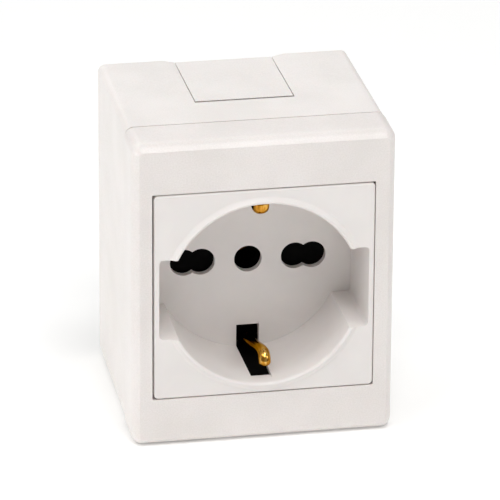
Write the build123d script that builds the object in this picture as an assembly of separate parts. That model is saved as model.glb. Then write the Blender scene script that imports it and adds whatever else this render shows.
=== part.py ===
from build123d import *
import math
import os

# Surface mounted socket: a two-part box on the wall that holds one square
# socket module. Millimetres. Y = 0 is the wall, the front faces -Y, +Z is up,
# and the origin is the centre of the box's flat back. The plug's pins set the
# size of the recess, the recess that of the module, and the module the box's
# width and depth.

# Box as a whole
seam_depth = 10.7
seam_gap = 0.3
fit_gap = 0.2

# How far a cut runs past its surface, and a joined form into its neighbour
overrun = 1.0

# Wall box behind the seam
box_height = 63.7
side_border = 3.6
wiring_room = 7.0
box_corner = 2.6
box_wall = 2.0
box_draft = 0.5
back_wall = 2.0

# Fixing holes and cable hole in the back
fixing_inset = 6.35
fixing_hole_r = 2.2
fixing_boss_r = 4.2
fixing_boss_height = 1.5
cable_hole_r = 8.0
cable_hole_margin = 0.8

# Cable entry panel in the top wall
panel_width = 19.7
panel_length = 23.75
panel_gap = 0.2
panel_drop = 0.5
panel_edge_radius = 0.45
panel_shoulder = 2.3
tongue_depth = 0.7
tongue_setback = 1.0
tongue_thickness = 0.6
tongue_gap = 0.1

# Front cover
cover_overhang = 0.3
cover_corner = 3.6
cover_edge_radius = 3.3
cover_wall = 2.2
collar_wall = 2.0
collar_depth = 9.0
lip_wall = 1.2
lip_reach = 2.5
hook_width = 6.0
hook_reach = 4.0
hook_barb = 0.5
hook_barb_length = 2.0
hook_inset = 9.1

# Face of the socket module
face_margin = 1.05
insert_corner = 0.9
insert_edge_radius = 0.45
flange_depth = 3.0
side_ledge = 0.4
top_ledge = 0.6
skirt_wall = 1.3
catch_width = 12.0
catch_height = 0.7
catch_length = 2.0

# Recess for the plug
floor_margin = 3.25
recess_drop = 0.4
recess_depth = 17.8
recess_floor = 1.5
cup_wall = 1.6
rim_width = 1.55
rim_height = 0.6
rim_root = 0.4
pocket_depth = 1.9
pocket_half_height = 8.45
pocket_corner = 0.8

# Pin holes on the row through the middle of the recess
pin_hole_r = 2.8
inner_pin_x = 9.5
pin_row_step = 3.5

# Slots for the two earth contacts
slot_mouth_width = 4.0
slot_floor_width = 4.6
slot_start = 1.7
slot_ramp = 2.2
slot_ramp_fall = 0.3
slot_depth = 1.15
slot_reach = 4.75
slot_liner_wall = 0.55

# Contact carrier and rear cap behind the face
carrier_side_step = 1.6
carrier_end_step = 0.55
carrier_corner = 1.5
carrier_wall = 1.5
shutter_space = 2.9
channel_gap = 0.6
cap_plate = 1.6
well_collar_height = 3.7
well_wall = 1.1

# Sheet brass contacts
brass = 0.6
contact_length = 13.5
contact_room = 1.8
leaf_pinch = 1.9
leaf_mouth = 3.0
leaf_run = 4.0
leaf_bend = 0.8
finger_slit = 0.4
slit_end = 3.0
leaf_gap = 0.3

# Earth bracket with its two side contacts
earth_strip_width = 2.5
earth_strip = 1.0
earth_arm_inset = 0.3
earth_bow_inset = 3.3
earth_bow_front = 3.7
earth_bow_back = 7.5
earth_tip_inset = 1.95
earth_tip_depth = 3.4
earth_tip_bend = 1.3
earth_bow_bend = 6.0
earth_root_bend = 3.0
earth_edge_radius = 0.42
sleeve_length = 7.9
sleeve_r = 2.9
sleeve_wall = 0.5
sleeve_slit = 0.7
sleeve_end = 1.0
rivet_r = 0.9
rivet_head_r = 1.6
rivet_head = 0.5

# Screw terminals
terminal_side_inset = 8.5
terminal_end_inset = 8.0
screw_r = 1.75
screw_head_r = 3.0
screw_head_height = 2.1
screw_head_radius = 0.5
screw_slot = 0.8
screw_slot_depth = 1.0
screw_length = 8.9
screw_room = 1.0
screw_clearance = 0.08
clamp_size = 7.0
clamp_plate = 1.6
clamp_lip = 1.4
clamp_lip_wall = 0.9
clamp_groove = 0.6
clamp_groove_depth = 0.3
clamp_travel = 3.9
clamp_gap = 0.2
wire_hole_r = 1.9
well_gap = 0.4

# Safety shutter and its spring
shutter_gap = 0.25
shutter_margin = 0.6
shutter_arm_margin = 0.4
bridge_height = 2.4
stop_height = 1.5
shutter_ramp = 1.2
spring_coil_r = 1.0
spring_wire_r = 0.2
spring_turns = 5
spring_length = 9.0
spring_end_gap = 0.1
ledge_half_width = 1.9
ledge_height = 1.4

# Screws that hold the module together
body_screw_side_inset = 2.4
body_screw_end_inset = 3.1
body_screw_r = 1.1
body_screw_play = 0.05
body_screw_head_r = 2.1
body_screw_head = 1.3
body_screw_recess = 0.8
body_screw_length = 28.0
boss_wall = 1.4

# Sizes worked out from those above: recess, module, then box
outer_pin_x = inner_pin_x + pin_row_step
recess_r = outer_pin_x + pin_hole_r + floor_margin
pocket_reach = recess_r + pocket_depth
insert_width = 2 * (pocket_reach + face_margin)
insert_height = 2 * (recess_r + rim_width + face_margin)
body_width = insert_width - 2 * side_ledge
body_height = insert_height - 2 * top_ledge
carrier_width = body_width - 2 * carrier_side_step
carrier_height = body_height - 2 * carrier_end_step
carrier_front = recess_depth + recess_floor + shutter_space
contact_front = carrier_front + contact_room
carrier_back = contact_front + contact_length
box_width = insert_width + 2 * side_border
box_depth = carrier_back + wiring_room + back_wall

# Places worked out from the sizes above
face_y = -box_depth
seam_y = face_y + seam_depth
floor_y = face_y + recess_depth
floor_back_y = floor_y + recess_floor
carrier_front_y = floor_back_y + shutter_space
carrier_back_y = face_y + carrier_back
cap_back_y = carrier_back_y + cap_plate
recess_z = -recess_drop
window_width = insert_width + 2 * fit_gap
window_height = insert_height + 2 * fit_gap
mouth_growth = math.tan(math.radians(box_draft)) * (box_depth - seam_depth - seam_gap)
mouth_width = box_width + 2 * mouth_growth
mouth_height = box_height + 2 * mouth_growth
cover_width = mouth_width + 2 * cover_overhang
cover_height = mouth_height + 2 * cover_overhang
fixing_z = box_height / 2 - fixing_inset
cable_hole_z = -(fixing_z - fixing_boss_r - cable_hole_margin - cable_hole_r)
panel_seat_z = box_height / 2 - box_wall
hook_x = box_width / 2 - hook_inset
terminal_x = carrier_width / 2 - terminal_side_inset
terminal_z = carrier_height / 2 - terminal_end_inset
live_terminal = (-terminal_x, -terminal_z)
neutral_terminal = (terminal_x, -terminal_z)
earth_terminal = (terminal_x, terminal_z)
body_screw_x = carrier_width / 2 - body_screw_side_inset
body_screw_z = carrier_height / 2 - body_screw_end_inset
slot_inner_r = recess_r - slot_reach
earth_arm_r = recess_r - earth_arm_inset
shutter_travel = 2 * pin_hole_r + shutter_margin + fit_gap
arm_inner_x = pin_hole_r + shutter_margin
arm_outer_x = inner_pin_x - pin_hole_r - shutter_arm_margin
wing_outer_x = outer_pin_x + pin_hole_r + shutter_margin


def slab(outline, y_front, y_back):
    """Prism of an outline drawn in x and z, between two depths."""
    face = Plane.XZ.offset(-y_back) * outline
    return extrude(face, amount=y_back - y_front, dir=(0, -1, 0))


def block(x_low, x_high, y_low, y_high, z_low, z_high):
    """Box between two corners."""
    centre = ((x_low + x_high) / 2, (y_low + y_high) / 2, (z_low + z_high) / 2)
    return Pos(*centre) * Box(x_high - x_low, y_high - y_low, z_high - z_low)


def rod(x, z, radius, y_front, y_back):
    """Round bar along Y."""
    return slab(Pos(x, z) * Circle(radius), y_front, y_back)


def side_profile(outline, width):
    """Outline drawn in y and z, given a width across the middle."""
    face = Plane.YZ.offset(-width / 2) * outline
    return extrude(face, amount=width, dir=(1, 0, 0))


def front_edges(shape):
    return shape.edges().group_by(Axis.Y)[0]


def panel_grooves(depth, thickness, half_width, y_low, y_high):
    """Bars at both sides of the entry panel, as tongues or as their grooves."""
    middle = panel_seat_z + box_wall / 2
    low = middle - thickness / 2
    high = middle + thickness / 2
    bars = Part()
    for side in (-1, 1):
        inner = side * (half_width - panel_gap)
        outer = side * (half_width + depth)
        bars += block(min(inner, outer), max(inner, outer), y_low, y_high, low, high)
    return bars


def make_rear_box():
    outer = extrude(
        Plane.XZ * RectangleRounded(box_width, box_height, box_corner),
        amount=-(seam_y + seam_gap),
        taper=-box_draft,
    )
    growth = math.tan(math.radians(box_draft)) * back_wall
    inner_outline = RectangleRounded(
        box_width + 2 * growth - 2 * box_wall,
        box_height + 2 * growth - 2 * box_wall,
        max(box_corner - box_wall, 0.5),
    )
    hollow = extrude(
        Plane.XZ.offset(back_wall) * inner_outline,
        amount=box_depth,
        taper=-box_draft,
    )
    shell = outer - hollow

    # Fixing bosses stand inside, and the holes go through boss and back.
    for side in (-1, 1):
        z = side * fixing_z
        boss_front = -back_wall - fixing_boss_height
        shell += rod(0, z, fixing_boss_r, boss_front, -back_wall)
        shell -= rod(0, z, fixing_hole_r, boss_front - overrun, overrun)
    hole_front = -back_wall - fixing_boss_height - overrun
    shell -= rod(0, cable_hole_z, cable_hole_r, hole_front, overrun)

    # Notch for the entry panel, open to the wall, with a groove at each side.
    half = panel_width / 2 + panel_gap
    notch_front = -panel_length - panel_gap
    shell -= block(-half, half, notch_front, overrun, panel_seat_z, box_height)
    shell -= panel_grooves(
        tongue_depth + tongue_gap,
        tongue_thickness + 2 * tongue_gap,
        half,
        notch_front,
        overrun,
    )
    shell -= shoulder_cut(half, notch_front)

    # Blind pockets where the cover's hooks catch.
    for side, top in ((-1, 1), (1, 1), (-1, -1), (1, -1)):
        shell -= hook_shape(side, top, fit_gap)
    return shell


def top_surface(y):
    """Height of the box's drafted top at a distance from the wall."""
    return box_height / 2 - math.tan(math.radians(box_draft)) * y


def shoulder_cut(half, notch_front):
    """Shallow trough that leads the top down to the panel, deeper at the wall."""
    start = top_surface(notch_front)
    fall = start - (top_surface(0) - panel_drop)
    run = math.hypot(-notch_front, fall)
    tilt = Plane(
        origin=(0, notch_front, start),
        x_dir=(1, 0, 0),
        z_dir=(0, -notch_front / run, -fall / run),
    )
    wide = half + 2 * panel_shoulder
    rise = 2 * panel_drop
    outline = Polygon((-half, 0), (half, 0), (wide, -rise), (-wide, -rise), align=None)
    return extrude(tilt * outline, amount=run + overrun, dir=tilt.z_dir)


def make_entry_panel():
    front = -panel_length
    high = top_surface(front)
    low = top_surface(0) - panel_drop
    outline = Polygon(
        (front, panel_seat_z + fit_gap / 4),
        (0, panel_seat_z + fit_gap / 4),
        (0, low),
        (front, high),
        align=None,
    )
    plate = side_profile(outline, panel_width)
    top_front = plate.edges().filter_by(Axis.X).group_by(Axis.Y)[0].sort_by(Axis.Z)[-1]
    plate = fillet(top_front, panel_edge_radius)
    half = panel_width / 2
    return plate + panel_grooves(tongue_depth, tongue_thickness, half, front + tongue_setback, 0)


def hook_shape(side, top, grow):
    """Barb of one snap hook; grown by a gap it is the pocket that it sits in."""
    lip_top = mouth_height / 2 - box_wall - fit_gap
    barb_back = seam_y + seam_gap + lip_reach + hook_reach
    barb_front = barb_back - hook_barb_length
    x = side * hook_x
    z_low = lip_top - lip_wall / 2
    z_high = lip_top + hook_barb
    half = hook_width / 2
    low = top * z_low
    high = top * (z_high + grow)
    return block(
        x - half - grow,
        x + half + grow,
        barb_front - grow,
        barb_back + grow,
        min(low, high),
        max(low, high),
    )


def make_front_cover():
    shell = slab(RectangleRounded(cover_width, cover_height, cover_corner), face_y, seam_y)
    shell = fillet(front_edges(shell), cover_edge_radius)
    inner_width = cover_width - 2 * cover_wall
    inner_height = cover_height - 2 * cover_wall
    inner_corner = cover_corner - cover_wall
    inner = RectangleRounded(inner_width, inner_height, inner_corner)
    shell -= slab(inner, face_y + cover_wall, seam_y)

    # Collar round the window, with the ledge that the module's flange sits on.
    collar = RectangleRounded(
        window_width + 2 * collar_wall,
        window_height + 2 * collar_wall,
        insert_corner + collar_wall,
    )
    shell += slab(collar, face_y + cover_wall / 2, face_y + collar_depth)

    # Lip that locates in the mouth of the wall box.
    lip_width = mouth_width - 2 * box_wall - 2 * fit_gap
    lip_height = mouth_height - 2 * box_wall - 2 * fit_gap
    lip_outer = RectangleRounded(lip_width, lip_height, inner_corner)
    lip_inner = RectangleRounded(
        lip_width - 2 * lip_wall, lip_height - 2 * lip_wall, inner_corner / 2
    )
    root = RectangleRounded(inner_width + fit_gap, inner_height + fit_gap, inner_corner)
    shell += slab(root - lip_inner, seam_y - lip_reach, seam_y)
    shell += slab(lip_outer - lip_inner, seam_y - lip_reach, seam_y + seam_gap + lip_reach)

    shell -= slab(
        RectangleRounded(window_width, window_height, insert_corner + fit_gap),
        face_y - overrun,
        face_y + flange_depth + fit_gap / 2,
    )
    shell -= slab(
        Rectangle(body_width + 2 * fit_gap, body_height + 2 * fit_gap),
        face_y,
        seam_y + box_depth,
    )

    # Four snap hooks carry on from the lip at top and bottom.
    for side, top in ((-1, 1), (1, 1), (-1, -1), (1, -1)):
        x = side * hook_x
        outer = lip_height / 2
        levels = sorted((top * outer, top * (outer - lip_wall)))
        arm_back = seam_y + seam_gap + lip_reach + hook_reach
        shell += block(
            x - hook_width / 2,
            x + hook_width / 2,
            seam_y,
            arm_back,
            levels[0],
            levels[1],
        )
        shell += hook_shape(side, top, 0)
    return shell


def recess_outline(grow):
    """Round recess with a square pocket to each side, drawn in x and z."""
    width = 2 * (pocket_reach + grow)
    height = 2 * (pocket_half_height + grow)
    pockets = RectangleRounded(width, height, pocket_corner)
    return Pos(0, recess_z) * (Circle(recess_r + grow) + pockets)


def pin_pair(side):
    """The two pin holes of one side, run together into a figure of eight."""
    inner = Pos(side * inner_pin_x, recess_z) * Circle(pin_hole_r)
    outer = Pos(side * outer_pin_x, recess_z) * Circle(pin_hole_r)
    return inner + outer


def slot_plan(gap):
    """Upright prism over a slot's outline, a little wider at the floor."""
    mouth = slot_mouth_width / 2 - gap
    floor = slot_floor_width / 2 - gap
    mouth_y = face_y + slot_start
    outline = Polygon(
        (-mouth, mouth_y),
        (mouth, mouth_y),
        (floor, floor_y),
        (floor, carrier_back_y),
        (-floor, carrier_back_y),
        (-floor, floor_y),
        align=None,
    )
    return extrude(outline, amount=box_height, both=True)


def slot_cut(top):
    """Slot for one earth contact: a channel in the wall that ends in the floor."""
    outer = recess_r + slot_depth
    ramp_y = face_y + slot_start
    wall_part = Polygon(
        (ramp_y, slot_inner_r),
        (ramp_y, recess_r),
        (ramp_y + slot_ramp, recess_r + slot_ramp_fall),
        (ramp_y + slot_ramp, outer),
        (floor_back_y + overrun, outer),
        (floor_back_y + overrun, slot_inner_r),
        align=None,
    )
    cut = side_profile(wall_part, slot_floor_width) & slot_plan(0)
    if top < 0:
        cut = mirror(cut, Plane.XY)
    return Pos(0, 0, recess_z) * cut


def make_rim():
    """Low rounded rim that stands up round the recess."""
    inner = recess_r
    outer = recess_r + rim_width
    crown = Spline(
        (inner, 0.0),
        (inner + 0.3 * rim_width, rim_height),
        (outer, 0.0),
        tangents=[(0.15, 1), (1, -0.35)],
    )
    base = Polyline((outer, 0.0), (outer, -rim_root), (inner, -rim_root), (inner, 0.0))
    profile = make_face(crown + base)
    ring = revolve(Plane.XY * profile, axis=Axis.Y, revolution_arc=360)
    return Pos(0, face_y, recess_z) * mirror(ring, Plane.XZ)


def corner_posts(radius, y_front, y_back):
    posts = Part()
    for x in (-body_screw_x, body_screw_x):
        for z in (-body_screw_z, body_screw_z):
            posts += rod(x, z, radius, y_front, y_back)
    return posts


def make_socket_insert():
    flange = slab(
        RectangleRounded(insert_width, insert_height, insert_corner),
        face_y,
        face_y + flange_depth,
    )
    flange = fillet(front_edges(flange), insert_edge_radius)
    body = slab(Rectangle(body_width, body_height), face_y + flange_depth, floor_back_y)
    cavity = slab(
        Rectangle(body_width - 2 * skirt_wall, body_height - 2 * skirt_wall),
        face_y + flange_depth - skirt_wall,
        floor_back_y,
    )
    cup = slab(recess_outline(cup_wall), face_y, floor_back_y)
    posts = corner_posts(body_screw_r + boss_wall, face_y + overrun, floor_back_y)
    insert = flange + body - (cavity - cup - posts) + make_rim()

    # Catches on top and bottom sit behind the cover's collar.
    catch_y = face_y + collar_depth + fit_gap
    for side in (-1, 1):
        root = side * (body_height / 2 - skirt_wall / 2)
        tip = side * (body_height / 2 + catch_height)
        low, high = sorted((root, tip))
        insert += block(
            -catch_width / 2, catch_width / 2, catch_y, catch_y + catch_length, low, high
        )

    insert -= slab(recess_outline(0), face_y - rim_height - overrun, floor_y)
    for side in (-1, 1):
        insert -= slab(pin_pair(side), floor_y - overrun, floor_back_y + overrun)
        insert -= slot_cut(side)
    insert -= rod(0, recess_z, pin_hole_r, floor_y - overrun, floor_back_y + overrun)
    pilot_y = cap_back_y - body_screw_length - fit_gap
    insert -= corner_posts(body_screw_r, pilot_y, floor_back_y + overrun)
    return insert


def channel(side, grow):
    """Room for one double contact and the pins that enter it."""
    width = outer_pin_x - inner_pin_x + 2 * (pin_hole_r + grow)
    height = 2 * (pin_hole_r + grow)
    middle = side * (inner_pin_x + outer_pin_x) / 2
    return Pos(middle, recess_z) * RectangleRounded(width, height, 1.0)


def tail_outline(side, place, grow):
    """Flat tail that leads from a contact down to its terminal."""
    x, z = place
    half = clamp_size / 2 + grow
    low = z - half
    high = recess_z - pin_hole_r / 2
    return Pos(x, (low + high) / 2) * Rectangle(2 * half, high - low)


def make_contact_carrier():
    outline = RectangleRounded(carrier_width, carrier_height, carrier_corner)
    carrier = slab(outline, floor_back_y, carrier_back_y)
    shutter_room = RectangleRounded(
        carrier_width - 2 * carrier_wall, carrier_height - 2 * carrier_wall, carrier_corner
    )
    carrier -= slab(shutter_room, floor_back_y, carrier_front_y)
    carrier += corner_posts(body_screw_r + boss_wall, floor_back_y, carrier_front_y + overrun)

    # Ledge above the middle hole that carries the shutter's spring.
    ledge_low = spring_foot_z() - ledge_height
    carrier += block(
        -ledge_half_width,
        ledge_half_width,
        floor_back_y,
        carrier_front_y + overrun,
        ledge_low,
        spring_foot_z(),
    )

    # Two stops beside the upper earth arm, for the closed shutter's bridge.
    stop_low = spring_foot_z() + spring_length + bridge_height + spring_end_gap
    for side in (-1, 1):
        inner, outer = sorted((side * arm_inner_x, side * arm_outer_x))
        carrier += block(
            inner,
            outer,
            floor_back_y + shutter_gap,
            carrier_front_y + overrun,
            stop_low,
            stop_low + stop_height,
        )

    # Channels for the pins, and the pockets of the contacts' tails.
    tail_y = carrier_back_y - brass - fit_gap / 2
    for side, place in ((-1, live_terminal), (1, neutral_terminal)):
        carrier -= slab(channel(side, channel_gap), carrier_front_y - overrun, carrier_back_y)
        carrier -= slab(tail_outline(side, place, fit_gap), tail_y, carrier_back_y)
    sleeve_room_y = carrier_back_y - brass - sleeve_length - fit_gap
    carrier -= rod(0, recess_z, pin_hole_r, carrier_front_y - overrun, carrier_back_y)
    carrier -= rod(0, recess_z, sleeve_r + fit_gap, sleeve_room_y, carrier_back_y)
    carrier -= slab(earth_plate_outline(fit_gap), tail_y, carrier_back_y)

    # Clamp rooms, with a wire hole each from the nearer end face.
    room_y = carrier_back_y - screw_length - screw_room
    wire_y = carrier_back_y - brass - wire_hole_r - fit_gap / 2
    for x, z in (live_terminal, neutral_terminal, earth_terminal):
        size = clamp_size + 2 * clamp_gap
        carrier -= slab(Pos(x, z) * Rectangle(size, size), room_y, carrier_back_y)
        reach = carrier_height / 2 + overrun
        end = math.copysign(reach, z)
        middle = (z + end) / 2
        hole = Cylinder(wire_hole_r, abs(end - z))
        carrier -= Pos(x, wire_y, middle) * hole

    # Grooves for the earth arms, and the liners that fill the recess's slots.
    for side in (-1, 1):
        groove_in = recess_z + side * (earth_arm_r - earth_strip / 2 - fit_gap)
        groove_out = recess_z + side * (recess_r + slot_depth - slot_liner_wall)
        low, high = sorted((groove_in, groove_out))
        carrier -= block(
            -earth_strip_width / 2 - fit_gap,
            earth_strip_width / 2 + fit_gap,
            floor_back_y - overrun,
            carrier_back_y + overrun,
            low,
            high,
        )
        liner_out = recess_z + side * (recess_r + slot_depth - fit_gap / 4)
        low, high = sorted((groove_out, liner_out))
        half = slot_floor_width / 2
        liner = block(
            -half,
            half,
            face_y + slot_start + slot_ramp,
            floor_back_y + carrier_wall,
            low,
            high,
        )
        carrier += liner & slot_plan(fit_gap / 4)
    carrier -= corner_posts(body_screw_r + fit_gap, floor_back_y - overrun, carrier_back_y + overrun)
    return carrier


def make_rear_cap():
    outline = RectangleRounded(carrier_width, carrier_height, carrier_corner)
    cap = slab(outline, carrier_back_y, cap_back_y)
    collar_back = carrier_back_y + well_collar_height
    well_r = screw_head_r + well_gap
    for x, z in (live_terminal, neutral_terminal, earth_terminal):
        cap += rod(x, z, well_r + well_wall, carrier_back_y, collar_back)
        cap -= rod(x, z, well_r, carrier_back_y - overrun, collar_back + overrun)

    # Raised wall that keeps the live and neutral wires apart.
    half = cap_plate / 2
    cap += block(
        -half,
        half,
        carrier_back_y,
        collar_back,
        -carrier_height / 2,
        live_terminal[1] / 2,
    )
    cap -= rod(0, recess_z, rivet_head_r + fit_gap, carrier_back_y - overrun, cap_back_y + overrun)
    cap -= corner_posts(body_screw_r + fit_gap, carrier_back_y - overrun, cap_back_y + overrun)
    return cap


def make_double_contact(side, place):
    """Folded brass: two sprung leaves with fingers, a back web and a tail."""
    web_y = carrier_back_y - brass / 2
    leaf_z = pin_hole_r + channel_gap - leaf_gap - brass / 2
    front_y = face_y + contact_front
    pinch_y = front_y + leaf_mouth
    points = [
        (front_y, leaf_z),
        (pinch_y, leaf_pinch + brass / 2),
        (pinch_y + leaf_run, leaf_z),
        (web_y, leaf_z),
        (web_y, -leaf_z),
        (pinch_y + leaf_run, -leaf_z),
        (pinch_y, -leaf_pinch - brass / 2),
        (front_y, -leaf_z),
    ]
    line = FilletPolyline(*points, radius=leaf_bend)
    width = outer_pin_x - inner_pin_x + 2 * (pin_hole_r + channel_gap - leaf_gap)
    middle = side * (inner_pin_x + outer_pin_x) / 2
    hairpin = side_profile(trace(line, line_width=brass), width)
    contact = Pos(middle, 0, recess_z) * hairpin
    slit = block(
        middle - finger_slit / 2,
        middle + finger_slit / 2,
        front_y - overrun,
        web_y - slit_end,
        -box_height,
        box_height,
    )
    contact -= slit
    tail = slab(tail_outline(side, place, 0), carrier_back_y - brass, carrier_back_y)
    tail -= rod(*place, screw_r + screw_clearance, carrier_back_y - overrun, carrier_back_y + overrun)
    return contact + tail


def earth_plate_outline(grow):
    """Upright strip across the back with a side lug to the earth terminal."""
    x, z = earth_terminal
    reach = 2 * (earth_arm_r + earth_strip / 2 + grow)
    strip = Pos(0, recess_z) * Rectangle(earth_strip_width + 2 * grow, reach)
    lug_end = x + clamp_size / 2 + grow
    lug_start = -earth_strip_width / 2 - grow
    lug_middle = (lug_end + lug_start) / 2
    lug = Pos(lug_middle, z) * Rectangle(lug_end - lug_start, clamp_size + 2 * grow)
    return strip + lug


def make_earth_bracket():
    plate = slab(earth_plate_outline(0), carrier_back_y - brass, carrier_back_y)
    cut_front = carrier_back_y - overrun
    cut_back = carrier_back_y + overrun
    plate -= rod(*earth_terminal, screw_r + screw_clearance, cut_front, cut_back)
    plate -= rod(0, recess_z, rivet_r, cut_front, cut_back)
    bow_r = recess_r - earth_bow_inset
    points = [
        (face_y + earth_tip_depth, recess_r - earth_tip_inset),
        (face_y + earth_bow_front, bow_r),
        (face_y + earth_bow_back, bow_r),
        (floor_back_y, earth_arm_r),
        (carrier_back_y - brass / 2, earth_arm_r),
    ]
    bends = [earth_tip_bend, earth_bow_bend, earth_root_bend]
    arm_line = FilletPolyline(*points, radius=bends)
    arm = side_profile(trace(arm_line, line_width=earth_strip), earth_strip_width)
    ends = arm.faces().sort_by(Axis.Y)
    end_edges = [edge.center() for edge in ends[0].edges() + ends[-1].edges()]
    long_edges = [
        edge
        for edge in arm.edges().filter_by(Axis.X, reverse=True)
        if all((edge.center() - end).length > fit_gap for end in end_edges)
    ]
    arm = fillet(long_edges, earth_edge_radius)
    both = arm + mirror(arm, Plane.XY)
    return plate + Pos(0, 0, recess_z) * both


def make_earth_sleeve():
    back = carrier_back_y - brass
    front = back - sleeve_length
    tube = rod(0, recess_z, sleeve_r, front, back)
    tube -= rod(0, recess_z, sleeve_r - sleeve_wall, front - overrun, back - sleeve_end)
    slit = sleeve_slit / 2
    tube -= block(-slit, slit, front - overrun, back - slit_end, -box_height, box_height)
    return tube - rod(0, recess_z, rivet_r, front, back + overrun)


def make_earth_rivet():
    """Rivet that joins the sleeve's end to the bracket, with a head each side."""
    inner = carrier_back_y - brass - sleeve_end
    rivet = rod(0, recess_z, rivet_r, inner - rivet_head, carrier_back_y + rivet_head)
    rivet += rod(0, recess_z, rivet_head_r, inner - rivet_head, inner)
    rivet += rod(0, recess_z, rivet_head_r, carrier_back_y, carrier_back_y + rivet_head)
    return rivet


def make_terminal_screw(place):
    x, z = place
    seat = carrier_back_y + screw_clearance
    screw = rod(x, z, screw_r, carrier_back_y - screw_length, seat + 0.5)
    head = rod(x, z, screw_head_r, seat, seat + screw_head_height)
    head = fillet(head.edges().group_by(Axis.Y)[-1], screw_head_radius)
    slot_y = seat + screw_head_height - screw_slot_depth
    half = screw_slot / 2
    reach = screw_head_r + overrun
    screw += head
    slot_end = seat + screw_head_height + overrun
    screw -= block(x - reach, x + reach, slot_y, slot_end, z - half, z + half)
    return screw


def make_clamp(place):
    """Threaded plate with two lips; turning its screw draws it to the tail."""
    x, z = place
    back = carrier_back_y - brass - clamp_travel - fit_gap
    front = back - clamp_plate
    half = clamp_size / 2
    clamp = slab(Pos(x, z) * Rectangle(clamp_size, clamp_size), front, back)
    for side in (-1, 1):
        levels = sorted((x + side * half, x + side * (half - clamp_lip_wall)))
        clamp += block(
            levels[0], levels[1], front - clamp_lip, back, z - half, z + half
        )
        middle = z + side * clamp_size / 4
        clamp -= block(
            x - half,
            x + half,
            back - clamp_groove_depth,
            back + overrun,
            middle - clamp_groove / 2,
            middle + clamp_groove / 2,
        )
    hole_front = front - clamp_lip - overrun
    clamp -= rod(x, z, screw_r + screw_clearance, hole_front, back + overrun)
    return clamp


def spring_foot_z():
    """Top of the ledge, clear above the middle pin hole."""
    return recess_z + pin_hole_r + shutter_margin + ledge_height


def make_safety_shutter():
    """One plate that closes both pairs of pin holes and slides down to open."""
    front = floor_back_y + shutter_gap
    back = carrier_front_y - shutter_gap
    wing_low = recess_z - pin_hole_r - shutter_margin
    wing_high = recess_z - pin_hole_r + shutter_travel - fit_gap
    bridge_low = spring_foot_z() + spring_length
    shutter = block(
        -arm_outer_x, arm_outer_x, front, back, bridge_low, bridge_low + bridge_height
    )
    for side in (-1, 1):
        inner, outer = sorted((side * arm_inner_x, side * arm_outer_x))
        shutter += block(inner, outer, front, back, wing_low, bridge_low + bridge_height)
        inner, outer = sorted((side * arm_inner_x, side * wing_outer_x))
        wing = block(inner, outer, front, back, wing_low, wing_high)
        ramp_edge = wing.edges().filter_by(Axis.X).group_by(Axis.Y)[0].sort_by(Axis.Z)[-1]
        shutter += chamfer(ramp_edge, shutter_ramp)
    return shutter


def make_shutter_spring():
    """Compression coil between the ledge and the shutter's bridge."""
    foot = spring_foot_z() + spring_end_gap
    height = spring_length - 2 * spring_end_gap - 2 * spring_wire_r
    middle_y = (floor_back_y + carrier_front_y) / 2
    path = Helix(pitch=height / spring_turns, height=height, radius=spring_coil_r)
    start = Plane(origin=path @ 0, z_dir=path % 0)
    coil = sweep(start * Circle(spring_wire_r), path=path, is_frenet=True)
    return Pos(0, middle_y, foot + spring_wire_r) * coil


def make_body_screws():
    screws = Part()
    seat = cap_back_y
    for x in (-body_screw_x, body_screw_x):
        for z in (-body_screw_z, body_screw_z):
            shank_r = body_screw_r - body_screw_play
            recess_y = seat + body_screw_head - body_screw_recess
            shank = rod(x, z, shank_r, seat - body_screw_length, recess_y)
            head = rod(x, z, body_screw_head_r, seat, seat + body_screw_head)
            drive = rod(x, z, body_screw_head_r / 3, recess_y, seat + body_screw_head + overrun)
            screws += shank + head - drive
    return screws


def save(name, shape):
    shape.label = name
    export_step(shape, f"parts/{name}.step")


os.makedirs("parts", exist_ok=True)
save("rear_box", make_rear_box())
save("entry_panel", make_entry_panel())
save("front_cover", make_front_cover())
save("socket_insert", make_socket_insert())
save("contact_carrier", make_contact_carrier())
save("rear_cap", make_rear_cap())
save("live_contact", make_double_contact(-1, live_terminal))
save("neutral_contact", make_double_contact(1, neutral_terminal))
save("earth_bracket", make_earth_bracket())
save("earth_sleeve", make_earth_sleeve())
save("earth_rivet", make_earth_rivet())
save("safety_shutter", make_safety_shutter())
save("shutter_spring", make_shutter_spring())
save("body_screws", make_body_screws())
for name, place in (
    ("live", live_terminal),
    ("neutral", neutral_terminal),
    ("earth", earth_terminal),
):
    save(f"{name}_screw", make_terminal_screw(place))
    save(f"{name}_clamp", make_clamp(place))
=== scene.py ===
import math

import bmesh
import bpy
from mathutils import Matrix, Vector


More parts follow.
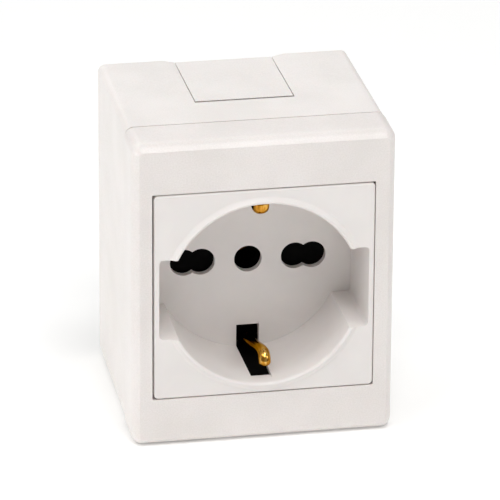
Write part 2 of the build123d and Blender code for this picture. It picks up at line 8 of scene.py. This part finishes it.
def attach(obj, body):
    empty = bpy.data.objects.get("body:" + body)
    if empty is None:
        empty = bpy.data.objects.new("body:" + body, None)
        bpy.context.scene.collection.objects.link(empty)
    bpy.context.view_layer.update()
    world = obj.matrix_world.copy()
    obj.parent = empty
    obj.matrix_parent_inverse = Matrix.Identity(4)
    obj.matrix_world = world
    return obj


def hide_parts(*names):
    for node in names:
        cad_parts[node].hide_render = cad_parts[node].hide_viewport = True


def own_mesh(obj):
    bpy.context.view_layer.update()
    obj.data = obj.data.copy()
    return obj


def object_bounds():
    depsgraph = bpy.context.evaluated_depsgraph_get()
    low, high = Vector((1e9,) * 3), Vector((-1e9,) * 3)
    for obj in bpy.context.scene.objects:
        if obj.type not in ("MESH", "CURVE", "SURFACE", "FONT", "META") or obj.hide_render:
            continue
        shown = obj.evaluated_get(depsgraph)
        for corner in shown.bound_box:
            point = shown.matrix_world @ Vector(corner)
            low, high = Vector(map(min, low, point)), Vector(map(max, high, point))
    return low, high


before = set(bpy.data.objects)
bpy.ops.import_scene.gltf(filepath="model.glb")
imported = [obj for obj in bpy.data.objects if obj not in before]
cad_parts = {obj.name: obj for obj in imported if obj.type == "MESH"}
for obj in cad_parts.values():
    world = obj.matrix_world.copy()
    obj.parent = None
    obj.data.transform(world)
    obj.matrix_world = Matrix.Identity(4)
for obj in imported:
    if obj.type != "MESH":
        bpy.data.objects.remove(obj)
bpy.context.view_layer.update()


# Contacts of the module
# Rolled brass sheet, blanked and bent. Each live or neutral contact is a folded
# spring with a slit that makes four fingers; the middle earth sleeve is rolled
# from the same sheet and riveted to the earth bracket.

MM = 0.001


def linear(hex_colour):
    """Linear RGBA of an sRGB colour in six hex digits, by the standard sRGB curve."""
    channels = [int(hex_colour[i:i + 2], 16) / 255 for i in (1, 3, 5)]
    curve = [c / 12.92 if c <= 0.04045 else ((c + 0.055) / 1.055) ** 2.4 for c in channels]
    return (*curve, 1.0)


def add(tree, kind, settings, links, stops=()):
    """Adds one node with its settings, its links and, for a colour ramp, its stops."""
    node = tree.nodes.new("ShaderNode" + kind)
    for name, value in settings.items():
        if hasattr(node, name):
            setattr(node, name, value)
        else:
            node.inputs[name].default_value = value
    for name, source in links.items():
        tree.links.new(source, node.inputs[name])
    if stops:
        elements = node.color_ramp.elements
        while len(elements) < len(stops):
            elements.new(0.5)
        for element, (position, colour) in zip(elements, stops):
            element.position = position
            element.color = linear(colour)
    return node


def new_material(name, shader_settings):
    """Material with one principled shader, and object coordinates in metres."""
    material = bpy.data.materials.new(name)
    material.use_nodes = True
    tree = material.node_tree
    tree.nodes.clear()
    shader = add(tree, "BsdfPrincipled", shader_settings, {})
    add(tree, "OutputMaterial", {}, {"Surface": shader.outputs["BSDF"]})
    place = add(tree, "TexCoord", {}, {}).outputs["Object"]
    return material, tree, shader, place


def give_finish(nodes, material):
    """Gives CAD nodes a material in place of their plain one."""
    for name in nodes:
        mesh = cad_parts[name].data
        mesh.materials.clear()
        mesh.materials.append(material)


def rolled_brass():
    # Brass sheet, cold rolled: fine lines along the strip and a warm satin gleam. The
    # lines are drawn twenty times as long as they are wide.
    line_width = 0.06 * MM
    stain_size = 4.0 * MM
    material, tree, shader, place = new_material(
        "rolled_brass_sheet", {"Metallic": 1.0, "Roughness": 0.26}
    )
    stretched = add(
        tree, "Mapping", {"Scale": (1.0, 0.05, 1.0)}, {"Vector": place}
    ).outputs["Vector"]
    lines = add(
        tree, "TexNoise", {"Scale": 1 / line_width, "Detail": 3.0}, {"Vector": stretched}
    ).outputs["Fac"]
    stains = add(
        tree, "TexNoise", {"Scale": 1 / stain_size, "Detail": 4.0}, {"Vector": place}
    ).outputs["Fac"]
    colour = add(
        tree,
        "ValToRGB",
        {},
        {"Fac": stains},
        [(0.3, "#C08A35"), (0.55, "#D9A54A"), (0.75, "#E6BC66")],
    ).outputs["Color"]
    tree.links.new(colour, shader.inputs["Base Color"])
    rough = add(
        tree, "MapRange", {"To Min": 0.18, "To Max": 0.36}, {"Value": lines}
    ).outputs["Result"]
    tree.links.new(rough, shader.inputs["Roughness"])
    bump = add(
        tree, "Bump", {"Strength": 0.3, "Distance": 0.004 * MM}, {"Height": lines}
    ).outputs["Normal"]
    tree.links.new(bump, shader.inputs["Normal"])
    return material


brass_sheet = rolled_brass()
give_finish(["live_contact", "neutral_contact", "earth_sleeve", "earth_rivet"], brass_sheet)


# Earth bracket
# Heavier brass strip, riveted to the sleeve behind the face. Both ends come forward
# through slots beside the recess, where they are pressed into a channel with a round
# nose that springs against the side contact of a plug. Behind the noses the brass is
# painted darker, as a painted reflection of the dark slot and carrier.

def polished_brass_strip():
    # Polished brass strip: deep gold reflections, with faint draw lines along it. They
    # are drawn 25 times as long as wide, and run four times as far round the nose.
    line_width = 0.05 * MM
    streak_size = 0.7 * MM
    material, tree, shader, place = new_material(
        "polished_brass_strip",
        {"Metallic": 1.0, "Roughness": 0.16, "Specular Tint": linear("#E6CFA2")},
    )
    stretched = add(
        tree, "Mapping", {"Scale": (1.0, 0.04, 0.25)}, {"Vector": place}
    ).outputs["Vector"]
    lines = add(
        tree, "TexNoise", {"Scale": 1 / line_width, "Detail": 2.0}, {"Vector": stretched}
    ).outputs["Fac"]
    streaks = add(
        tree, "TexNoise", {"Scale": 1 / streak_size, "Detail": 3.0}, {"Vector": stretched}
    ).outputs["Fac"]
    colour = add(
        tree,
        "ValToRGB",
        {},
        {"Fac": streaks},
        [(0.34, "#A0661A"), (0.5, "#CE9236"), (0.68, "#EEC672")],
    ).outputs["Color"]
    # Painted reflection: darker from just behind the nose inwards, standing in for the
    # dark slot and carrier that the brass mirrors there.
    painted_reflection_start_y, painted_reflection_full_y = -41.5 * MM, -36.5 * MM
    depth = add(tree, "SeparateXYZ", {}, {"Vector": place}).outputs["Y"]
    painted_dark_reflection = add(
        tree, "MapRange", {"From Min": painted_reflection_start_y, "From Max": painted_reflection_full_y}, {"Value": depth}
    ).outputs["Result"]
    colour = add(
        tree,
        "MixRGB",
        {"blend_type": "MULTIPLY", "Color2": linear("#B4965E")},
        {"Fac": painted_dark_reflection, "Color1": colour},
    ).outputs["Color"]
    tree.links.new(colour, shader.inputs["Base Color"])
    rough = add(
        tree, "MapRange", {"To Min": 0.09, "To Max": 0.13}, {"Value": lines}
    ).outputs["Result"]
    tree.links.new(rough, shader.inputs["Roughness"])
    bump = add(
        tree, "Bump", {"Strength": 0.08, "Distance": 0.003 * MM}, {"Height": lines}
    ).outputs["Normal"]
    tree.links.new(bump, shader.inputs["Normal"])
    return material


def rounded_line(corners, radii, spacing):
    """Evenly spaced points along a line whose corners are rounded by arcs."""
    arc_steps = 12
    points = [Vector(corners[0])]
    for before, corner, after, radius in zip(corners, corners[1:], corners[2:], radii):
        corner = Vector(corner)
        back = (Vector(before) - corner).normalized()
        ahead = (Vector(after) - corner).normalized()
        half = back.angle(ahead) / 2
        centre = corner + (back + ahead).normalized() * radius / math.sin(half)
        start = corner + back * radius / math.tan(half) - centre
        end = corner + ahead * radius / math.tan(half) - centre
        sweep = start.angle(end)
        for i in range(arc_steps + 1):
            part = sweep * i / arc_steps
            spoke = (start * math.sin(sweep - part) + end * math.sin(part)) / math.sin(sweep)
            points.append(centre + spoke)
    points.append(Vector(corners[-1]))
    even, left = [points[0]], spacing
    for here, there in zip(points, points[1:]):
        run = (there - here).length
        while run >= left:
            even.append(here.lerp(there, left / run))
            left += spacing
        left -= run
    return even


def smooth_step(value, low, high):
    """Rises from 0 at low to 1 at high, level at both ends."""
    t = min(max((value - low) / (high - low), 0.0), 1.0)
    return t * t * (3 - 2 * t)


def pressed_arm(bm, side, half_width, lift_in, skew, nose_radius):
    """One arm, from the tip back into the carrier; side is 1 for the upper one.

    Its nose stands lift_in nearer to the recess and skew to the right of the middle.
    """
    face_y, axis_z = -46.5, -0.4
    # Depth behind the face and distance from the recess's axis: the tip, the front and
    # back of the nose, then the end of the long slope and the foot that meets the strip.
    nose_corners = [(3.2, 17.8), (3.5, 15.1), (7.0, 15.2)]
    foot_corners = [(19.2, 17.6), (22.2, 18.75), (24.0, 18.75)]
    corners = [(depth, out - lift_in) for depth, out in nose_corners] + foot_corners
    bend_radii = [nose_radius, 16.0, 6.0, 2.5]
    spacing = 0.2
    line = rounded_line(corners, bend_radii, spacing)
    half_strip, wall, leg = 0.49, 0.5, 0.5
    # The tip closes to a blunt end. The channel flattens into plain strip, and the skew
    # runs out, between these depths.
    tip_length, blunt_end = 0.8, 0.4
    channel_end, skew_end, strip_start = 10.0, 5.0, 19.0
    # The section runs over the back and returns inside the channel; a power below 1
    # squares the corners of the plain strip.
    half_turn, ring_steps, squareness = 84, 14, 0.5
    angles = [
        math.radians(-half_turn + 2 * half_turn * i / ring_steps) for i in range(ring_steps + 1)
    ]
    rings, gone = [], 0.0
    for i, point in enumerate(line):
        ahead = line[min(i + 1, len(line) - 1)] - line[max(i - 1, 0)]
        along = ahead.normalized()
        nose = Vector((along.y, -along.x))
        pressed = 1 - smooth_step(point.x, channel_end, strip_start)
        close = 1 - min(gone / tip_length, 1.0)
        close = max(math.sqrt(1 - close * close), blunt_end)
        shift = skew * (1 - smooth_step(point.x, skew_end, strip_start))
        ring = []
        for inner in (False, True):
            for angle in reversed(angles) if inner else angles:
                # u runs across the strip and v out of its back, first as plain strip,
                # then bent to a channel, then the two blended.
                across, lift = math.sin(angle), math.cos(angle)
                flat_u = half_width * math.copysign(abs(across) ** squareness, across)
                flat_v = half_strip * lift ** squareness * (-1 if inner else 1)
                reach = half_width - (wall if inner else 0)
                bent_u = reach * across
                bent_v = (half_strip + leg - (wall if inner else 0)) * lift - leg
                u = (flat_u + (bent_u - flat_u) * pressed) * close
                v = (flat_v + (bent_v - flat_v) * pressed + leg * pressed) * close - leg * pressed
                spot = point + nose * v
                place = Vector((u + shift, face_y + spot.x, axis_z + side * spot.y)) * MM
                ring.append(bm.verts.new(place))
        rings.append(ring)
        gone += spacing
    for first, second in zip(rings, rings[1:]):
        for j in range(len(first)):
            k = (j + 1) % len(first)
            bm.faces.new((first[j], first[k], second[k], second[j]))
    bm.faces.new(list(reversed(rings[0])))
    bm.faces.new(rings[-1])


def frame_copy(node):
    """The mesh of a CAD node, its corners joined, to be reshaped as a new piece."""
    joined_within = 0.001 * MM
    bm = bmesh.new()
    bm.from_mesh(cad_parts[node].data)
    bmesh.ops.remove_doubles(bm, verts=bm.verts, dist=joined_within)
    return bm


def show_piece(bm, name, node, body, material):
    """Shows a reshaped piece in place of its CAD node, riding on the node's body."""
    sharp_angle = math.radians(30)
    bmesh.ops.recalc_face_normals(bm, faces=bm.faces)
    mesh = bpy.data.meshes.new(name)
    bm.to_mesh(mesh)
    bm.free()
    if "custom_normal" in mesh.attributes:
        mesh.attributes.remove(mesh.attributes["custom_normal"])
    mesh.shade_smooth()
    mesh.set_sharp_from_angle(angle=sharp_angle)
    mesh.materials.append(material)
    piece = bpy.data.objects.new(name, mesh)
    bpy.context.scene.collection.objects.link(piece)
    even = piece.modifiers.new("even_shading", "WEIGHTED_NORMAL")
    even.keep_sharp = True
    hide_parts(node)
    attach(piece, body)
    return piece


def formed_bracket():
    """The frame's bracket behind the recess's floor, with pressed arms in front of it.

    The photograph's upper arm is the wider one; the lower one stands further in.
    """
    cut_y = -23.0 * MM
    bm = frame_copy("earth_bracket")
    everything = bm.verts[:] + bm.edges[:] + bm.faces[:]
    cut = bmesh.ops.bisect_plane(
        bm, geom=everything, plane_co=(0, cut_y, 0), plane_no=(0, -1, 0), clear_outer=True
    )
    rim = [item for item in cut["geom_cut"] if isinstance(item, bmesh.types.BMEdge)]
    bmesh.ops.holes_fill(bm, edges=rim, sides=0)
    pressed_arm(bm, side=1, half_width=1.55, lift_in=-0.45, skew=0.0, nose_radius=1.6)
    pressed_arm(bm, side=-1, half_width=1.2, lift_in=0.6, skew=0.9, nose_radius=2.0)
    brass = polished_brass_strip()
    show_piece(bm, "formed_earth_bracket", "earth_bracket", "socket", brass)


formed_bracket()


# Carrier, rear cap and shutter
# Black glass-filled nylon, injection moulded. The carrier holds the contacts and
# lines the two earth slots, the cap closes it and the shutter slides behind the face.

def moulded_black_nylon():
    # Glass-filled nylon: near black, dull, with a faint mottle of fibres at the skin.
    # They are some 0.01 mm thick and 0.2 mm long, and the grain is drawn between the two.
    fibre = 0.12 * MM
    mottle = 3.0 * MM
    material, tree, shader, place = new_material(
        "moulded_black_nylon", {"Roughness": 0.62, "IOR": 1.53, "Specular IOR Level": 0.03}
    )
    grain = add(
        tree, "TexNoise", {"Scale": 1 / fibre, "Detail": 4.0}, {"Vector": place}
    ).outputs["Fac"]
    patches = add(
        tree, "TexNoise", {"Scale": 1 / mottle, "Detail": 3.0}, {"Vector": place}
    ).outputs["Fac"]
    colour = add(
        tree,
        "ValToRGB",
        {},
        {"Fac": patches},
        [(0.3, "#040404"), (0.7, "#080707")],
    ).outputs["Color"]
    tree.links.new(colour, shader.inputs["Base Color"])
    rough = add(
        tree, "MapRange", {"To Min": 0.55, "To Max": 0.72}, {"Value": grain}
    ).outputs["Result"]
    tree.links.new(rough, shader.inputs["Roughness"])
    bump = add(
        tree, "Bump", {"Strength": 0.4, "Distance": 0.01 * MM}, {"Height": grain}
    ).outputs["Normal"]
    tree.links.new(bump, shader.inputs["Normal"])
    return material


give_finish(["contact_carrier", "rear_cap", "safety_shutter"], moulded_black_nylon())


# Shutter spring
# Hard drawn steel wire, coiled. It stands on the carrier's ledge above the middle
# hole and pushes the shutter up, closed over the pin holes.

def drawn_spring_wire():
    # Spring steel: grey and bright, with drawing marks round the wire.
    mark = 0.05 * MM
    material, tree, shader, place = new_material(
        "drawn_spring_wire", {"Metallic": 1.0, "Roughness": 0.3}
    )
    marks = add(
        tree, "TexNoise", {"Scale": 1 / mark, "Detail": 2.0}, {"Vector": place}
    ).outputs["Fac"]
    colour = add(
        tree,
        "ValToRGB",
        {},
        {"Fac": marks},
        [(0.3, "#8E9092"), (0.7, "#B4B6B8")],
    ).outputs["Color"]
    tree.links.new(colour, shader.inputs["Base Color"])
    rough = add(
        tree, "MapRange", {"To Min": 0.22, "To Max": 0.38}, {"Value": marks}
    ).outputs["Result"]
    tree.links.new(rough, shader.inputs["Roughness"])
    return material


def wound_spring():
    """The frame's spring as a piece of its own, on the socket's body, with a mesh of its own.
    """
    spring = frame_copy("shutter_spring")
    wire = drawn_spring_wire()
    piece = show_piece(
        spring, "wound_shutter_spring", "shutter_spring", "socket", wire
    )
    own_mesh(piece)


wound_spring()


# Terminal screws, clamps and body screws
# Steel, cold headed or pressed, then zinc plated. Each clamp rides on its screw and
# pulls a wire up against the contact's tail.

def zinc_plated_steel():
    # Bright zinc plate: cool silver with soft cloudy patches and a fine etch.
    etch = 0.08 * MM
    cloud = 1.6 * MM
    material, tree, shader, place = new_material(
        "zinc_plated_steel", {"Metallic": 1.0, "Roughness": 0.34}
    )
    clouds = add(
        tree, "TexNoise", {"Scale": 1 / cloud, "Detail": 4.0}, {"Vector": place}
    ).outputs["Fac"]
    grain = add(
        tree, "TexNoise", {"Scale": 1 / etch, "Detail": 2.0}, {"Vector": place}
    ).outputs["Fac"]
    colour = add(
        tree,
        "ValToRGB",
        {},
        {"Fac": clouds},
        [(0.3, "#A9ADB0"), (0.55, "#C2C5C6"), (0.75, "#CBC9C0")],
    ).outputs["Color"]
    tree.links.new(colour, shader.inputs["Base Color"])
    rough = add(
        tree, "MapRange", {"To Min": 0.26, "To Max": 0.44}, {"Value": clouds}
    ).outputs["Result"]
    tree.links.new(rough, shader.inputs["Roughness"])
    bump = add(
        tree, "Bump", {"Strength": 0.2, "Distance": 0.004 * MM}, {"Height": grain}
    ).outputs["Normal"]
    tree.links.new(bump, shader.inputs["Normal"])
    return material


terminals = ("live", "neutral", "earth")
plated = [f"{name}_screw" for name in terminals] + [f"{name}_clamp" for name in terminals]
give_finish(plated + ["body_screws"], zinc_plated_steel())


# Face of the module
# Off-white thermoplastic, injection moulded in a polished tool, so it is smoother
# than the cover round it. A rounded rim stands up round the recess.

def smooth_moulded_polycarbonate():
    # Polycarbonate from a polished tool: satin and even, with faint flow marks in its
    # colour and gloss.
    flow_size = 9.0 * MM
    skin = 0.5 * MM
    material, tree, shader, place = new_material(
        "smooth_moulded_polycarbonate",
        {
            "IOR": 1.58,
            "Specular IOR Level": 0.42,
            "Subsurface Weight": 0.08,
            "Subsurface Scale": 0.6 * MM,
        },
    )
    flow = add(
        tree,
        "TexNoise",
        {"Scale": 1 / flow_size, "Detail": 3.0, "Distortion": 0.6},
        {"Vector": place},
    ).outputs["Fac"]
    grain = add(
        tree, "TexNoise", {"Scale": 1 / skin, "Detail": 2.0}, {"Vector": place}
    ).outputs["Fac"]
    colour = add(
        tree,
        "ValToRGB",
        {},
        {"Fac": flow},
        [(0.3, "#E7E2DF"), (0.7, "#EBE6E3")],
    ).outputs["Color"]
    tree.links.new(colour, shader.inputs["Base Color"])
    rough = add(
        tree, "MapRange", {"To Min": 0.32, "To Max": 0.42}, {"Value": flow}
    ).outputs["Result"]
    tree.links.new(rough, shader.inputs["Roughness"])
    bump = add(
        tree, "Bump", {"Strength": 0.15, "Distance": 0.008 * MM}, {"Height": grain}
    ).outputs["Normal"]
    tree.links.new(bump, shader.inputs["Normal"])
    return material


give_finish(["socket_insert"], smooth_moulded_polycarbonate())


# Front cover
# Off-white thermoplastic with a fine spark-eroded skin on the outside. It clips
# over the mouth of the wall box and carries the module in its window.

def spark_eroded_abs(name, pale, shade, gloss, dull):
    # ABS moulded against a spark-eroded tool: a fine pebble that breaks up the gloss
    # and gives the pale colour a slight mottle. Real grit is under 0.1 mm and would not
    # show, so it is drawn at 0.3 mm.
    pebble = 0.3 * MM
    cloud = 14.0 * MM
    material, tree, shader, place = new_material(
        name,
        {
            "IOR": 1.53,
            "Specular IOR Level": 0.5,
            "Subsurface Weight": 0.06,
            "Subsurface Scale": 0.6 * MM,
        },
    )
    grit = add(
        tree, "TexNoise", {"Scale": 1 / pebble, "Detail": 3.0}, {"Vector": place}
    ).outputs["Fac"]
    clouds = add(
        tree, "TexNoise", {"Scale": 1 / cloud, "Detail": 3.0}, {"Vector": place}
    ).outputs["Fac"]
    mottle = add(
        tree, "MixRGB", {"Fac": 0.5}, {"Color1": clouds, "Color2": grit}
    ).outputs["Color"]
    colour = add(
        tree,
        "ValToRGB",
        {},
        {"Fac": mottle},
        [(0.4, shade), (0.6, pale)],
    ).outputs["Color"]
    tree.links.new(colour, shader.inputs["Base Color"])
    rough = add(
        tree, "MapRange", {"To Min": gloss, "To Max": dull}, {"Value": grit}
    ).outputs["Result"]
    tree.links.new(rough, shader.inputs["Roughness"])
    bump = add(
        tree, "Bump", {"Strength": 0.9, "Distance": 0.05 * MM}, {"Height": grit}
    ).outputs["Normal"]
    tree.links.new(bump, shader.inputs["Normal"])
    return material


def moved_in(z, top, bottom):
    """Height with the top lowered and the bottom raised, eased in over the end walls."""
    start, full = 26.0, 31.0
    return z - top * smooth_step(z, start, full) + bottom * smooth_step(-z, start, full)


def past_corner(x, z, half, corner):
    """How far a point lies past the centre of its rounded corner, across and up."""
    return Vector((abs(x), abs(z))) - half + Vector((corner, corner))


def on_corner(x, z, half, corner, ahead, reach):
    """The point at that reach from the centre of its corner, in the direction ahead."""
    spot = half - Vector((corner, corner)) + ahead.normalized() * reach
    return math.copysign(spot.x, x), math.copysign(spot.y, z)


def moulded_cover():
    """The frame's cover with the real one's crisp front edge and tighter corners.

    Its window's corners are nearly square, and the seam behind it stands open a little.
    """
    face_y, seam_y = -46.5, -35.8
    half = Vector((26.2098, 32.4598))
    corner, new_corner = 3.6, 2.2
    # The front edge: a quarter round in the frame; here an arc that stops short of the
    # face and meets it in a crease.
    edge, new_edge, new_turn = 3.3, 3.4, math.radians(55)
    rear_relief = 0.3
    window_half = Vector((22.2, 21.85))
    window_corner, open_corner = 1.1, 0.3
    window_right, window_up, window_depth = -0.12, 0.08, 3.2
    top_lowered, bottom_raised = 0.2, 0.6
    # How far off a point may lie and still count as on a flat wall, on a rounded one,
    # in a corner, or at the seam.
    flat, rounded, cornered, at_seam = 0.02, 0.03, 0.01, 0.05
    bm = frame_copy("front_cover")
    for vert in bm.verts:
        x, y, z = vert.co / MM
        ahead = past_corner(x, z, window_half, window_corner)
        if min(ahead) > -cornered:
            on_window = abs(ahead.length - window_corner) < rounded
        else:
            on_window = abs(max(ahead) - window_corner) < flat
        if on_window and y < face_y + window_depth:
            if min(ahead) > -cornered:
                x, z = on_corner(x, z, window_half, open_corner, ahead, open_corner)
            vert.co = Vector((x + window_right, y, z + window_up)) * MM
            continue
        away = past_corner(x, z, half, corner)
        depth = y - face_y
        if min(away) > 0:
            inset = corner - away.length
        else:
            inset = min(half.x - abs(x), half.y - abs(z))
        on_side = depth > edge - flat and abs(inset) < flat
        on_edge = abs(math.hypot(edge - depth, edge - inset) - edge) < rounded
        if depth < -flat or not (on_side or (on_edge and inset < edge + flat)):
            continue
        turn = 0.0 if on_side and not on_edge else math.atan2(edge - depth, edge - inset)
        turn *= new_turn / math.radians(90)
        new_inset = new_edge * (1 - math.cos(turn))
        if on_edge and depth < edge:
            y = face_y + new_edge * (math.sin(new_turn) - math.sin(turn))
        if y > seam_y - at_seam:
            y -= rear_relief
        if min(away) > -cornered:
            x, z = on_corner(x, z, half, new_corner, away, new_corner - new_inset)
        elif half.x - abs(x) < half.y - abs(z):
            x = math.copysign(half.x - new_inset, x)
        else:
            z = math.copysign(half.y - new_inset, z)
        vert.co = Vector((x, y, z)) * MM
    for vert in bm.verts:
        vert.co.z = moved_in(vert.co.z / MM, top_lowered, bottom_raised) * MM
    plastic = spark_eroded_abs("spark_eroded_abs_cover", "#ECE6E3", "#E4DEDA", 0.26, 0.38)
    show_piece(bm, "moulded_front_cover", "front_cover", "socket", plastic)


moulded_cover()


# Wall box and its entry panel
# The same plastic as the cover from another tool, a shade lighter and duller. The box
# screws to the wall; the panel slides in two grooves of its top wall, out to the rear.

box_plastic = spark_eroded_abs("spark_eroded_abs_box", "#EFEAE7", "#E7E2DE", 0.42, 0.58)


def moulded_box():
    """The frame's wall box with the real one's tighter corners and higher underside.

    Its notch in the top wall runs a little further forward, which opens a gap there.
    """
    mouth_y = 35.8
    back_half, growth = Vector((25.6, 31.85)), 0.3098
    corner, new_corner, skin = 2.6, 1.5, 0.9
    notch_y, notch_gap, top_wall_z = -23.95, 0.6, 29.0
    bottom_raised = 0.6
    flat, cornered = 0.02, 0.01
    bm = frame_copy("rear_box")
    for vert in bm.verts:
        x, y, z = vert.co / MM
        grown = growth * min(-y / mouth_y, 1.0)
        half = back_half + Vector((grown, grown))
        away = past_corner(x, z, half, corner)
        if min(away) > -cornered and away.length > corner - skin:
            x, z = on_corner(x, z, half, new_corner, away, new_corner + away.length - corner)
        if z > top_wall_z and abs(y - notch_y) < flat:
            y -= notch_gap
        vert.co = Vector((x, y, moved_in(z, 0.0, bottom_raised))) * MM
    show_piece(bm, "moulded_wall_box", "rear_box", "socket", box_plastic)


def moulded_panel():
    """The frame's entry panel with a smaller rounding on its upper front edge.

    The edge stands back from the notch, and the part below it further, so that the gap
    shows as a dark line.
    """
    front_y, top_z, edge_z = -23.75, 32.04, 31.5
    rounding, new_share = 0.46, 0.4
    gap, undercut, flat = 0.2, 1.2, 0.02
    bm = frame_copy("entry_panel")
    for vert in bm.verts:
        x, y, z = vert.co / MM
        if y < front_y + rounding + flat:
            if z < edge_z:
                y += undercut
            else:
                y = front_y + gap + (y - front_y) * new_share
                z = top_z - (top_z - z) * new_share
            vert.co = Vector((x, y, z)) * MM
    show_piece(bm, "moulded_entry_panel", "entry_panel", "panel", box_plastic)


moulded_box()
moulded_panel()


# Floor
# A pale table top of matt opal acrylic that the box stands on, lit faintly from
# below, as tables for product photographs are.

def stage_plane():
    span = 6.0
    low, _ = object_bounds()
    mesh = bpy.data.meshes.new("pale_floor")
    bm = bmesh.new()
    bmesh.ops.create_grid(bm, x_segments=1, y_segments=1, size=span / 2)
    bm.to_mesh(mesh)
    bm.free()
    floor = bpy.data.objects.new("pale_floor", mesh)
    bpy.context.scene.collection.objects.link(floor)
    floor.location = (0, 0, low.z)
    material, tree, shader, place = new_material(
        "opal_light_table",
        {
            "Base Color": linear("#FBFBFA"),
            "Roughness": 0.9,
            "Emission Color": linear("#FFFFFF"),
            "Emission Strength": 0.12,
        },
    )
    fibre = 0.8 * MM
    grain = add(
        tree, "TexNoise", {"Scale": 1 / fibre, "Detail": 2.0}, {"Vector": place}
    ).outputs["Fac"]
    bump = add(
        tree, "Bump", {"Strength": 0.05, "Distance": 0.05 * MM}, {"Height": grain}
    ).outputs["Normal"]
    tree.links.new(bump, shader.inputs["Normal"])
    mesh.materials.append(material)


stage_plane()


# Studio light
# A white room with six square softboxes, all aimed at the box: the key high in front
# on the left, a small one in front, others on the right, low on the left, behind and
# overhead.

def studio():
    world = bpy.data.worlds.new("white_room")
    bpy.context.scene.world = world
    world.use_nodes = True
    background = world.node_tree.nodes["Background"]
    background.inputs["Color"].default_value = linear("#FFFFFF")
    background.inputs["Strength"].default_value = 0.32
    bpy.context.scene.view_settings.view_transform = "Standard"
    # Name, place and side in metres, power in watts.
    lights = [
        ("key_softbox", (-0.45, -0.30, 0.80), 0.45, 1.3),
        ("front_softbox", (0.0, -0.40, 0.54), 0.24, 1.15),
        ("right_softbox", (0.75, -0.65, 0.60), 0.4, 0.9),
        ("left_softbox", (-0.98, -0.10, 0.15), 0.36, 2.3),
        ("back_softbox", (-0.2, 0.9, 1.0), 1.2, 5.2),
        ("overhead_softbox", (0.19, -0.26, 1.05), 0.32, 2.3),
    ]
    for name, place, size, power in lights:
        data = bpy.data.lights.new(name, "AREA")
        data.shape = "SQUARE"
        data.size = size
        data.energy = power
        light = bpy.data.objects.new(name, data)
        bpy.context.scene.collection.objects.link(light)
        light.location = place
        light.rotation_euler = (-Vector(place)).to_track_quat("-Z", "Y").to_euler()


studio()


# Camera
# A long lens from the left and above, turned and aimed as the photograph's was: the
# sides of the box converge only slightly.

def camera():
    yaw, pitch, roll = 10.69, 23.02, 0.37
    target = Vector((-2.25, -42.82, 7.53)) * MM
    distance = 961.8 * MM
    data = bpy.data.cameras.new("camera")
    data.sensor_width = 36.0
    data.lens = 352.7
    view = bpy.data.objects.new("camera", data)
    bpy.context.scene.collection.objects.link(view)
    turn = (
        Matrix.Rotation(math.radians(-yaw), 3, "Z")
        @ Matrix.Rotation(math.radians(90 - pitch), 3, "X")
        @ Matrix.Rotation(math.radians(roll), 3, "Z")
    )
    view.location = target + turn @ Vector((0, 0, distance))
    view.rotation_euler = turn.to_euler()
    bpy.context.scene.camera = view


camera()
